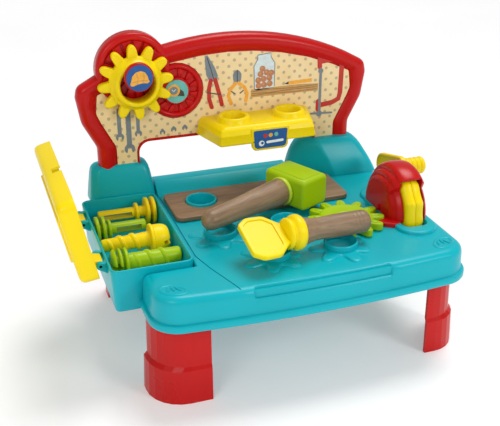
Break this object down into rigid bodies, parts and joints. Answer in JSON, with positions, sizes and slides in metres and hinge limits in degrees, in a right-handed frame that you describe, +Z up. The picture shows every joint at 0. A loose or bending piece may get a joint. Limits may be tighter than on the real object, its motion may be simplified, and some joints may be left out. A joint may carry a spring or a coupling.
{
  "type": "toy workbench",
  "caption": "Toddler's toy workbench: teal table on red legs, red tool board, side bin with hinged yellow lid, guarded toy saw, gears, hammer, screwdriver and pegs.",
  "frame": {"origin": "centre of the model's bounding box on the floor", "axes": "+Z up, -Y towards the child at the front edge, +X towards the saw"},
  "size_m": [0.4514, 0.299, 0.3345],
  "materials": {
    "teal": "satin",
    "red": "satin",
    "yellow": "satin",
    "lime": "satin",
    "wood_look": "matte, printed grain",
    "print": "matte print",
    "blue_label": "satin print",
    "teal_label": "satin print",
    "steel": "plain"
  },
  "bodies": {
    "bench": {"table_top": "teal", "front_left_leg": "red", "front_right_leg": "red", "rear_left_leg": "red", "rear_right_leg": "red", "left_pedestal": "teal", "right_pedestal": "teal", "backboard_frame": "red", "print_panel": "print", "gear_peg": "red", "helmet_label": "blue_label", "tape_label": "teal_label", "shelf": "yellow", "shelf_label": "blue_label", "tool_bin": "teal", "lid_pin_1": "teal", "lid_pin_2": "teal", "saw_guard": "red", "saw_axle": "red", "shelf_screw_1": "steel", "shelf_screw_2": "steel", "gear_peg_screw": "steel", "left_pedestal_screw": "steel", "right_pedestal_screw": "steel", "guard_screw": "steel"},
    "lid": {"bin_lid": "yellow"},
    "wall_gear": {"yellow_gear": "yellow"},
    "saw_blade": {"saw_wheel_left": "yellow", "saw_wheel_right": "yellow"},
    "lever": {"saw_lever": "yellow"},
    "board_strip": {"plank": "wood_look"},
    "hammer": {"hammer_head": "lime", "hammer_handle": "wood_look"},
    "loose_gear": {"green_gear": "lime"},
    "screwdriver": {"screwdriver_blade": "yellow", "screwdriver_handle": "wood_look"},
    "yellow_nail_body": {"yellow_nail": "yellow"},
    "green_nail_body": {"green_nail": "lime"},
    "yellow_screw_body": {"yellow_screw": "yellow"},
    "green_screw_body": {"green_screw": "lime"}
  },
  "joints": [
    {"name": "lid_hinge", "type": "hinge", "parent": "bench", "child": "lid", "pos_m": [-0.1838, 0.027, 0.1363], "axis": [0, -1, 0], "range_deg": [-102, 4]},
    {"name": "wall_gear_spin", "type": "hinge", "parent": "bench", "child": "wall_gear", "pos_m": [-0.1023, 0.1198, 0.2784], "axis": [0, 1, 0], "continuous": true},
    {"name": "saw_wheel_spin", "type": "hinge", "parent": "bench", "child": "saw_blade", "pos_m": [0.17445, -0.0225, 0.142], "axis": [1, 0, 0], "continuous": true},
    {"name": "saw_lever_rock", "type": "hinge", "parent": "bench", "child": "lever", "pos_m": [0.1952, -0.0225, 0.142], "axis": [1, 0, 0], "range_deg": [0, 50]},
    {"name": "plank_lift", "type": "slide", "parent": "bench", "child": "board_strip", "axis": [0, 0, 1], "range_m": [0, 0.04]},
    {"name": "hammer_lift", "type": "slide", "parent": "board_strip", "child": "hammer", "axis": [0, 0, 1], "range_m": [0, 0.06]},
    {"name": "green_gear_lift", "type": "slide", "parent": "bench", "child": "loose_gear", "axis": [0, 0, 1], "range_m": [0, 0.03]},
    {"name": "screwdriver_lift", "type": "slide", "parent": "loose_gear", "child": "screwdriver", "axis": [0, 0, 1], "range_m": [0, 0.06]},
    {"name": "yellow_nail_lift", "type": "slide", "parent": "bench", "child": "yellow_nail_body", "axis": [0, 0, 1], "range_m": [0, 0.06]},
    {"name": "green_nail_lift", "type": "slide", "parent": "bench", "child": "green_nail_body", "axis": [0, 0, 1], "range_m": [0, 0.06]},
    {"name": "yellow_screw_lift", "type": "slide", "parent": "bench", "child": "yellow_screw_body", "axis": [0, 0, 1], "range_m": [0, 0.06]},
    {"name": "green_screw_lift", "type": "slide", "parent": "bench", "child": "green_screw_body", "axis": [0, 0, 1], "range_m": [0, 0.06]}
  ]
}
